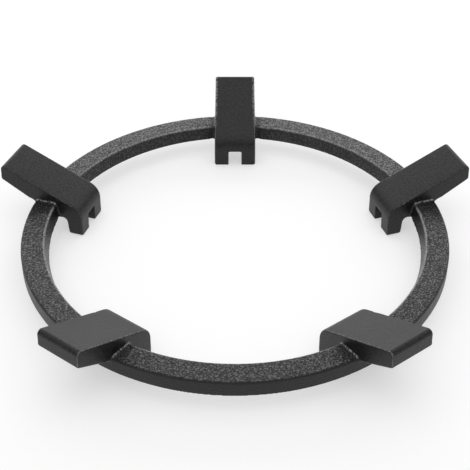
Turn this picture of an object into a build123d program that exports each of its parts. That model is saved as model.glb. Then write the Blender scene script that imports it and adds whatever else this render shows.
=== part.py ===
from build123d import *
import os
from math import cos, radians, sin, tan

# Cast iron wok support: a flat ring on five forked lugs, poured as one casting.
# Millimetres and degrees. Z is up, the origin is on the ring's axis in the plane of the feet,
# and the first lug points along +Y.

# Ring: a flat bar that narrows upwards from its underside, where the mould parts
ring_outer_radius = 104.2
ring_width = 13.0
ring_height = 7.6
ring_outer_draft = 2.0
ring_inner_draft = 12.0
ring_edge_chamfer = 0.6

# Lugs: sloping bars that cross the ring and carry the wok on their top faces
lug_count = 5
first_lug_angle = 90.0
lug_width = 23.1
lug_side_draft = 0.5
lug_slope = 25.0
lug_edge_radius = 0.5

# Tip: the outer end of a lug, out past the ring and above its top
tip_overhang = 16.5
tip_rise = 17.8
tip_thickness = 8.7
tip_draft = 5.0
tip_top_radius = 2.0
tip_bottom_radius = 1.2
underside_drop = 1.5

# Foot: the inner end of a lug turns down, and a slot forks it over a bar of the hob's grate
foot_height = 10.1
foot_thickness = 8.4
foot_draft = 2.5
foot_corner_radius = 1.2
foot_heel_radius = 2.0
nose_radius = 8.6
slot_width = 7.3
slot_depth = 9.0
slot_corner_radius = 0.6

# Arch: the open space between foot and ring, under a web that hangs a little below the ring
arch_gap = 4.5
arch_radius = 1.8
web_drop = 0.9

ring_top = foot_height + ring_height
ring_inner_radius = ring_outer_radius - ring_width
ring_top_outer_radius = ring_outer_radius - ring_height * tan(radians(ring_outer_draft))
ring_top_inner_radius = ring_inner_radius + ring_height * tan(radians(ring_inner_draft))

tip_radius = ring_outer_radius + tip_overhang
tip_height = ring_top + tip_rise
arch_height = foot_height - web_drop
foot_outer_radius = ring_inner_radius - arch_gap
foot_inner_radius = foot_outer_radius - foot_thickness


def make_ring():
    outline = Polyline(
        (ring_inner_radius, foot_height),
        (ring_outer_radius, foot_height),
        (ring_top_outer_radius, ring_top),
        (ring_top_inner_radius, ring_top),
        close=True,
    )
    section = make_face(outline)
    section = chamfer(section.vertices().group_by(Axis.Y)[-1], ring_edge_chamfer)
    return revolve(Plane.XZ * section, Axis.Z)


def meeting_point(point, direction, other_point, other_direction):
    across = direction.X * other_direction.Y - direction.Y * other_direction.X
    gap = other_point - point
    return point + direction * ((gap.X * other_direction.Y - gap.Y * other_direction.X) / across)


def lug_side_view():
    # X is the distance from the ring's axis, Y the height
    foot_taper = arch_height * tan(radians(foot_draft))
    inner_toe = Vector(foot_inner_radius + foot_taper, 0)
    heel = Vector(foot_outer_radius - foot_taper, 0)
    arch_corner = Vector(foot_outer_radius, arch_height)
    web_end = Vector(ring_inner_radius, arch_height)
    web_top = Vector(ring_inner_radius + web_drop, foot_height)

    tip_top = Vector(tip_radius, tip_height)
    tip_bottom = Vector(tip_radius + tip_thickness * tan(radians(tip_draft)), tip_height - tip_thickness)
    slope = Vector(cos(radians(lug_slope)), sin(radians(lug_slope)))
    inner_face = Vector(foot_inner_radius, arch_height) - inner_toe
    nose = meeting_point(tip_top, slope, inner_toe, inner_face)

    # The underside runs in under the ring's top edge and ends within the ring's section
    ring_middle = (ring_top_inner_radius + ring_top_outer_radius) / 2
    ring_edge = Vector(ring_top_outer_radius, ring_top - underside_drop)
    underside_end = meeting_point(ring_edge, tip_bottom - ring_edge, Vector(ring_middle, 0), Vector(0, 1))
    base_end = Vector(ring_middle, foot_height)

    foot = [inner_toe, nose]
    tip = [tip_top, tip_bottom, underside_end]
    arch = [base_end, web_top, web_end, arch_corner, heel]
    rounded = [
        (nose, nose_radius),
        (tip_top, tip_top_radius),
        (tip_bottom, tip_bottom_radius),
        (arch_corner, arch_radius),
        (heel, foot_heel_radius),
    ]
    face = make_face(Polyline(foot + tip + arch, close=True))
    for corner, radius in rounded:
        face = fillet(face.vertices().sort_by_distance(corner)[0], radius)
    return face


def lug_end_view():
    # Seen along the lug: the sides lean in towards the top, and the foot's corners are rounded
    half = lug_width / 2
    lean = tip_height * tan(radians(lug_side_draft))
    outline = Polyline(
        (-half, 0), (half, 0), (half - lean, tip_height), (lean - half, tip_height), close=True
    )
    face = make_face(outline)
    return fillet(face.vertices().group_by(Axis.Y)[0], foot_corner_radius)


def make_slot():
    outline = Pos(0, slot_depth / 2) * Rectangle(slot_width, slot_depth)
    outline = fillet(outline.vertices().group_by(Axis.Y)[-1], slot_corner_radius)
    through = foot_outer_radius + arch_gap / 2
    return extrude(Plane.YZ * outline, amount=through)


def make_lug():
    # One lug along +X: where its side view and its end view, both drawn out, overlap
    lug = extrude(Plane.XZ * lug_side_view(), amount=lug_width, both=True)
    lug &= extrude(Plane.YZ * lug_end_view(), amount=tip_radius * 2)
    top_face = lug.faces().filter_by(GeomType.PLANE).sort_by(lambda face: face.normal_at().Z)[-1]
    long_edges = top_face.edges().filter_by(Axis.Y, reverse=True)
    return fillet(long_edges, lug_edge_radius) - make_slot()


def make_casting():
    lugs = PolarLocations(0, lug_count, first_lug_angle) * make_lug()
    return make_ring() + lugs


casting = make_casting()
casting.label = "wok_support"
os.makedirs("parts", exist_ok=True)
export_step(casting, "parts/wok_support.step")
box = casting.bounding_box().size
print(f"wok_support {box.X:.1f} x {box.Y:.1f} x {box.Z:.1f} mm, {casting.volume / 1000:.1f} cm3")
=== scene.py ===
from math import atan2, degrees, hypot, radians, sin
from types import SimpleNamespace

import bpy
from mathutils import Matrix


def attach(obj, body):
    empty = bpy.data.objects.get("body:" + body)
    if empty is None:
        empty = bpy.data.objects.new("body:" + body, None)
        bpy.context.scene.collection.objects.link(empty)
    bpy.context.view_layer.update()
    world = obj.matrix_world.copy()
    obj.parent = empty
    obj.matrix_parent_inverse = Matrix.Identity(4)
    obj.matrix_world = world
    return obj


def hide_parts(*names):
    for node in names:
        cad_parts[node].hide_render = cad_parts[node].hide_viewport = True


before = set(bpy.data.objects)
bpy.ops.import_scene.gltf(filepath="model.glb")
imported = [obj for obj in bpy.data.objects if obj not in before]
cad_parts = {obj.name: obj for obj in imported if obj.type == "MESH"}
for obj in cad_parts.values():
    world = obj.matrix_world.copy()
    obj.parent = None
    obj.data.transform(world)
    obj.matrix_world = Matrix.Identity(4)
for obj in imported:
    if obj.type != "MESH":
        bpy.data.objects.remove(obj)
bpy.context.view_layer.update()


class Wire:
    # a shader socket that can be used in sums; an expression adds its Math nodes

    def __init__(self, tree, socket=None):
        self.tree = tree
        self.socket = socket

    def node(self, kind, settings={}, inputs={}, out=0):
        made = self.tree.nodes.new("ShaderNode" + kind)
        for name, value in settings.items():
            setattr(made, name, value)
        for name, value in inputs.items():
            if isinstance(value, Wire):
                value.feed(made, name)
            else:
                made.inputs[name].default_value = value
        return Wire(self.tree, made.outputs[out])

    def feed(self, node, name):
        self.tree.links.new(self.socket, node.inputs[name])

    def math(self, operation, first, second=0.0):
        return self.node("Math", {"operation": operation}, {0: first, 1: second})

    def __add__(self, other):
        return self.math("ADD", self, other)

    def __radd__(self, other):
        return self.math("ADD", other, self)

    def __sub__(self, other):
        return self.math("SUBTRACT", self, other)

    def __rsub__(self, other):
        return self.math("SUBTRACT", other, self)

    def __mul__(self, other):
        return self.math("MULTIPLY", self, other)

    def __rmul__(self, other):
        return self.math("MULTIPLY", other, self)

    def __abs__(self):
        return self.math("ABSOLUTE", self)

    def split(self):
        return [self.node("SeparateXYZ", inputs={"Vector": self}, out=axis) for axis in "XYZ"]

    def rise(self, low, high):
        # 0 below low, 1 above high, smooth in between
        settings = {"interpolation_type": "SMOOTHSTEP"}
        return self.node("MapRange", settings, {"Value": self, "From Min": low, "From Max": high})

    def fall(self, low, high):
        return 1 - self.rise(low, high)

    def span(self, low, high):
        # low where the mask is 0, high where it is 1
        return low + (high - low) * self


# the casting's skin, in metres and degrees
# its edges are softened and its inner corners filled, as sand moulds leave them
skinShape = {
    "mergeGap": 1e-6,
    "voxel": 0.00034,
    "softness": 0.5,
    "edgePasses": 3,
    "blendPasses": 50,
    "blendReach": 0.0034,
    "triangles": 190000,
    # where the lugs cross the ring
    "lugAngle": 90.0,
    "lugCount": 5,
    "lugSide": 0.0115,
    "ringInside": 0.0912,
    "ringMiddle": 0.0985,
    "ringOutside": 0.1042,
    "ringTop": 0.0177,
    "webBottom": 0.0092,
    "lowEdge": 0.0135,
}


def mergedCopy(node, name, gap):
    # the node's mesh is loose triangles, so the copy has its doubles merged
    piece = bpy.data.objects.new(name, node.data.copy())
    bpy.context.scene.collection.objects.link(piece)
    bpy.ops.object.select_all(action="DESELECT")
    piece.select_set(True)
    bpy.context.view_layer.objects.active = piece
    bpy.ops.object.mode_set(mode="EDIT")
    bpy.ops.mesh.select_all(action="SELECT")
    bpy.ops.mesh.remove_doubles(threshold=gap)
    bpy.ops.object.mode_set(mode="OBJECT")
    return piece


def applyModifier(piece, kind, settings):
    modifier = piece.modifiers.new(kind.lower(), kind)
    for name, value in settings.items():
        setattr(modifier, name, value)
    bpy.ops.object.modifier_apply(modifier=modifier.name)


def cornerWeight(place, shape):
    # 1 close to the corner where a lug's side meets the ring, 0 beyond the blend's reach
    radius = hypot(place.x, place.y)
    if radius > shape["ringMiddle"] and place.z < shape["lowEdge"]:
        return 0    # the ring's outer lower edge runs on under the lugs
    step = 360 / shape["lugCount"]
    turn = (degrees(atan2(place.y, place.x)) - shape["lugAngle"] + step / 2) % step - step / 2
    offLug = max(0, abs(radius * sin(radians(turn))) - shape["lugSide"])
    offRing = max(0, radius - shape["ringOutside"], shape["ringInside"] - radius)
    offRing = max(offRing, place.z - shape["ringTop"], shape["webBottom"] - place.z)
    return min(1, max(0, 2 - 2 * hypot(offLug, offRing) / shape["blendReach"]))


def markCorners(skin, shape):
    corners = skin.vertex_groups.new(name="corners")
    for vertex in skin.data.vertices:
        weight = cornerWeight(vertex.co, shape)
        if weight > 0:
            corners.add([vertex.index], weight, "REPLACE")
    return corners.name


def castSkin(node, shape):
    skin = mergedCopy(node, "castSkin", shape["mergeGap"])
    applyModifier(skin, "REMESH", {"mode": "VOXEL", "voxel_size": shape["voxel"]})
    applyModifier(skin, "SMOOTH", {"factor": shape["softness"], "iterations": shape["edgePasses"]})
    blend = {"factor": shape["softness"], "iterations": shape["blendPasses"]}
    blend["vertex_group"] = markCorners(skin, shape)
    applyModifier(skin, "SMOOTH", blend)
    skin.vertex_groups.clear()

    # the remesh leaves four-sided faces, two triangles each
    applyModifier(skin, "DECIMATE", {"ratio": shape["triangles"] / (2 * len(skin.data.polygons))})
    bpy.ops.object.shade_smooth()
    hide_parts("wok_support")
    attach(skin, "root")
    return skin


skin = castSkin(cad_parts["wok_support"], skinShape)
print("cast skin made,", len(skin.data.polygons), "faces")

# black finish of the iron: lengths in metres, greys linear
# a pair is where a mask starts and ends, or the range of a grey
ironLook = {
    "lugCount": skinShape["lugCount"],
    "lugSide": skinShape["lugSide"],
    "ringTop": skinShape["ringTop"],
    # the ring: distance from the axis, height over its top, and tilt of the face
    "ringStart": (0.0900, 0.0910),
    "ringEnd": (0.1050, 0.1055),
    "ringOver": (0.0004, 0.0014),
    "topTilt": (0.4, 0.9),
    "innerHalf": (0.096, 0.100),
    "innerEdge": 0.0930,
    "outerEdge": 0.1037,
    "edgeWidth": (0.00021, 0.0007),
    "edgeHeight": (-0.0014, -0.0006),
    # grain of the sand
    "grain": {"size": 0.00078, "detail": 2.0, "rough": 0.6},
    "fine": {"size": 0.0009, "detail": 2.0, "rough": 0.5},
    "patches": {"size": 0.02, "detail": 3.0, "rough": 0.5},
    "pebbleSize": 0.00085,
    "pebbleShare": 0.25,
    # painted shade beside the lugs: where it starts, and how much of the grain's light specks stays
    # there
    "lugShadeReach": (0.001, 0.004),
    "keptInLugShade": 0.3,
    "flecks": {"band": (0.34, 0.45), "onWall": 0.5, "offEdge": 0.7},
    "crests": {"band": (0.49, 0.56), "onWall": 0.4, "offEdge": 1.0},
    "grainDepth": 0.0005,
    "pebbleDepth": 0.0004,
    "fineDepth": 0.0001,
    "wallDepth": 0.25,
    # greys and gloss
    "lugGrey": (0.0009, 0.0171),
    "lugMottle": (0.3, 0.7),
    "ringGrey": (0.002, 0.006),
    "fleckGrey": 0.004,
    # light grey of the highest grains: partly worn black, partly painted glints
    "crestWearAndGlint": 0.1,
    "blueness": 1.02,
    "rough": 0.42,
    "roughVary": 0.1,
    "ior": 1.42,
    "fleckGloss": 0.95,
    "glossIor": 1.6,
    "glossRough": 0.35,
    # worn places and painted highlights on edges and joints
    "patchy": (0.35, 0.65),
    "leastPatchy": 0.3,
    "innerEdgeWearAndHighlight": 0.3,
    "lugEdge": {
        "grey": 0.16,
        "turn": (0.15, 0.45),
        "sideTurn": (0.8, 0.98),
        "end": (0.001, 0.002),
        "pastSideLugs": (0.045, 0.06),
        "onSideLugs": 0.25,
    },
    "rearEdge": {
        "grey": 0.24,
        "start": (-0.0018, -0.0009),
        "toRear": (0.085, 0.105),
        "tilt": (0.15, 0.5),
        "patchy": (0.36, 0.6),
    },
    "joint": {
        "grey": 0.3,
        "start": (-0.0003, -0.0001),
        "end": (0.0017, 0.0023),
        "foot": (-0.0002, 0.0002),
        "head": (0.0016, 0.0024),
        "steep": (0.2, 0.4),
        "flat": (0.75, 0.92),
        "patchy": (0.38, 0.6),
    },
}


def castingPlaces(wire, look):
    # where a point of the skin lies, from its place and its normal
    at = SimpleNamespace()
    at.place = wire.node("TexCoord", out="Object")
    x, y, z = at.place.split()
    tiltX, tiltY, at.tiltZ = wire.node("NewGeometry", out="Normal").split()
    at.y = y
    at.radius = wire.math("SQRT", x * x + y * y)
    at.overTop = z - look["ringTop"]
    onRing = at.radius.rise(*look["ringStart"]) * at.radius.fall(*look["ringEnd"])
    at.onRing = onRing * at.overTop.fall(*look["ringOver"])
    at.onTop = at.onRing * at.tiltZ.rise(*look["topTilt"])
    at.innerWall = (at.onRing - at.onTop) * at.radius.fall(*look["innerHalf"])

    # the nearest lug's direction, counted from the rear lug
    step = radians(360 / look["lugCount"])
    turn = wire.math("ROUND", wire.math("ARCTAN2", x, y) * (1 / step)) * step
    turnCos, turnSin = wire.math("COSINE", turn), wire.math("SINE", turn)
    at.offLug = abs(x * turnCos - y * turnSin) - look["lugSide"]
    at.sideways = abs(tiltX * turnCos - tiltY * turnSin)
    # painted shade beside the lugs: the grain's light specks, its gloss flecks and the inner edge
    # line are dimmed there, where the lugs keep light off the ring
    at.clear = at.offLug.rise(*look["lugShadeReach"]).span(look["keptInLugShade"], 1)
    return at


def noise(place, size, detail, rough):
    inputs = {"Vector": place, "Scale": 1 / size, "Detail": detail, "Roughness": rough}
    return place.node("TexNoise", inputs=inputs)


def ringEdge(at, look, edge):
    # a narrow line along one of the ring's top edges
    line = abs(at.radius - edge).fall(*look["edgeWidth"])
    return at.onRing * at.overTop.rise(*look["edgeHeight"]) * line


def ringGrain(at, sand, outerEdge, look):
    # the grains that stand out on the ring's top and, fewer, on its inner wall
    grains = sand.rise(*look["band"]) * (at.onTop + look["onWall"] * at.innerWall)
    # dimmed beside the lugs as painted shade
    return grains * (1 - look["offEdge"] * outerEdge) * at.clear


def lugEdgeWearAndHighlight(at, look):
    # partly worn black, partly painted highlight: light lines along the lugs' long edges, and less on
    # the two side lugs
    edge = at.sideways.rise(*look["turn"]) * at.sideways.fall(*look["sideTurn"])
    edge = edge * (1 - at.onRing) * at.offLug.fall(*look["end"])
    return look["grey"] * edge * abs(at.y).rise(*look["pastSideLugs"]).span(look["onSideLugs"], 1)


def rearEdgePaintedHighlight(at, fine, look):
    # painted highlight: broken light lines on the rear lug's top, beside its long edges, where the
    # rounded edges catch the light
    rear = at.y.rise(*look["toRear"]) * at.tiltZ.rise(*look["tilt"]) * (1 - at.onRing)
    return look["grey"] * rear * at.offLug.rise(*look["start"]) * fine.rise(*look["patchy"])


def jointPaintedHighlight(at, fine, look):
    # painted highlight: broken light lines in the corners where the lugs' sides meet the ring's top,
    # where the fillets catch the light
    joint = at.offLug.rise(*look["start"]) * at.offLug.fall(*look["end"])
    joint = joint * at.overTop.rise(*look["foot"]) * at.overTop.fall(*look["head"])
    joint = joint * at.tiltZ.rise(*look["steep"]) * at.tiltZ.fall(*look["flat"])
    return look["grey"] * joint * fine.rise(*look["patchy"])


def blackIron(look):
    material = bpy.data.materials.new("blackCastIron")
    material.use_nodes = True
    tree = material.node_tree
    shader = tree.nodes["Principled BSDF"]
    shader.inputs["IOR"].default_value = look["ior"]
    shader.inputs["Coat IOR"].default_value = look["glossIor"]
    shader.inputs["Coat Roughness"].default_value = look["glossRough"]
    wire = Wire(tree)
    at = castingPlaces(wire, look)

    # the ring carries the coarse grain of the sand, most of all on its top face
    grain, fine, patches = (noise(at.place, **look[name]) for name in ("grain", "fine", "patches"))
    cells = {"Vector": at.place, "Scale": 1 / look["pebbleSize"]}
    pebbles = wire.node("TexVoronoi", inputs=cells, out="Distance")
    sand = grain - look["pebbleShare"] * pebbles
    outerEdge = ringEdge(at, look, look["outerEdge"])
    flecks = ringGrain(at, sand, outerEdge, look["flecks"])
    crests = ringGrain(at, sand, outerEdge, look["crests"])

    # partly thinner black, partly painted highlights and glints: light lines on the ring's inner edge
    # and the lugs' edges, painted highlights on the rear lug's edges and in the joints, and light
    # specks on the highest grains
    patchy = fine.rise(*look["patchy"]).span(look["leastPatchy"], 1)
    # painted highlight, partly worn black: a light line along the ring's inner top edge
    innerEdge = look["innerEdgeWearAndHighlight"] * ringEdge(at, look, look["innerEdge"]) * at.clear
    wearAndHighlights = patchy * (innerEdge + lugEdgeWearAndHighlight(at, look["lugEdge"]))
    wearAndHighlights = wearAndHighlights + rearEdgePaintedHighlight(at, fine, look["rearEdge"]) + jointPaintedHighlight(at, fine, look["joint"])
    # light specks on the highest grains, partly wear and partly painted glints
    wearAndHighlights = wearAndHighlights + look["crestWearAndGlint"] * crests

    lugGrey = fine.rise(*look["lugMottle"]).span(*look["lugGrey"])
    grey = lugGrey + at.onRing * (patches.span(*look["ringGrey"]) - lugGrey)
    grey = grey + look["fleckGrey"] * flecks + wearAndHighlights
    shades = {"Red": grey, "Green": grey, "Blue": grey * look["blueness"]}
    wire.node("CombineColor", inputs=shades).feed(shader, "Base Color")
    rough = look["rough"] + look["roughVary"] * (fine + patches - 1)
    rough.feed(shader, "Roughness")
    (look["fleckGloss"] * flecks).feed(shader, "Coat Weight")

    relief = look["grainDepth"] * grain - look["pebbleDepth"] * pebbles
    relief = relief * at.onRing * at.onTop.span(look["wallDepth"], 1)
    heights = {"Strength": 1.0, "Distance": 1.0, "Height": relief + look["fineDepth"] * fine}
    wire.node("Bump", inputs=heights).feed(shader, "Normal")
    return material


skin.data.materials.clear()
skin.data.materials.append(blackIron(ironLook))
print("black iron on the skin")

# light tent, in metres, degrees and watts: an even pale dome, wide soft boxes overhead and behind,
# and a floor that shows shadows near the casting and plain white further out
tentLook = {
    "dome": 0.56,
    "floorSize": 40.0,
    "floorGrey": 0.58,
    "floorGlow": 0.48,
    "fade": (0.5, 1.1),
    "overhead": {"place": (0.0, -0.25, 1.1), "turn": (0, 0, 0), "size": (1.6, 1.6), "power": 5.0},
    "behind": {"place": (0.0, 1.174, 0.511), "turn": (-70, 0, 0), "size": (3.0, 0.75), "power": 10.5},
}


def floorFinish(look):
    material = bpy.data.materials.new("paleFloor")
    material.use_nodes = True
    tree = material.node_tree
    shader = tree.nodes["Principled BSDF"]
    shader.inputs["Roughness"].default_value = 1.0
    shader.inputs["Specular IOR Level"].default_value = 0.0
    shader.inputs["Emission Strength"].default_value = 1.0
    wire = Wire(tree)
    place = wire.node("TexCoord", out="Object")
    away = wire.node("VectorMath", {"operation": "LENGTH"}, {0: place}, "Value")
    far = away.rise(*look["fade"])
    grey = look["floorGrey"] * (1 - far)

    # the glow shows to the camera and in reflections, and lights nothing else
    rays = ("Camera", "Glossy", "Transmission")
    seen = sum(wire.node("LightPath", out=f"Is {ray} Ray") for ray in rays)
    glow = seen * far.span(look["floorGlow"], 1)
    for level, name in ((grey, "Base Color"), (glow, "Emission Color")):
        shades = {"Red": level, "Green": level, "Blue": level}
        wire.node("CombineColor", inputs=shades).feed(shader, name)
    return material


def paleFloor(look):
    bpy.ops.object.select_all(action="DESELECT")
    bpy.ops.mesh.primitive_plane_add(size=look["floorSize"])
    floor = bpy.context.object
    floor.name = "floor"
    floor.data.materials.append(floorFinish(look))


def paleDome(look):
    world = bpy.data.worlds.new("paleDome")
    bpy.context.scene.world = world
    world.use_nodes = True
    back = world.node_tree.nodes["Background"]
    back.inputs["Color"].default_value = (1, 1, 1, 1)
    back.inputs["Strength"].default_value = look["dome"]


def softBox(name, look):
    turn = [radians(angle) for angle in look["turn"]]
    bpy.ops.object.light_add(type="AREA", location=look["place"], rotation=turn)
    lamp = bpy.context.object
    lamp.name = name
    lamp.data.shape = "RECTANGLE"
    lamp.data.size, lamp.data.size_y = look["size"]
    lamp.data.energy = look["power"]


paleFloor(tentLook)
paleDome(tentLook)
softBox("overheadBox", tentLook["overhead"])
softBox("backBox", tentLook["behind"])
print("floor, dome and soft boxes placed")

# the photograph's viewpoint: metres, degrees down from level, and pixels
viewLook = {
    "place": (0.0, -0.3557, 0.29392),
    "pitch": 38.456,
    "focalPixels": 914.7,
    "imagePixels": 470,
}


def photoCamera(look):
    bpy.ops.object.camera_add(location=look["place"], rotation=(radians(90 - look["pitch"]), 0, 0))
    camera = bpy.context.object
    camera.name = "photoCamera"
    camera.data.lens = camera.data.sensor_width * look["focalPixels"] / look["imagePixels"]
    bpy.context.scene.camera = camera


photoCamera(viewLook)
bpy.context.scene.view_settings.view_transform = "Standard"
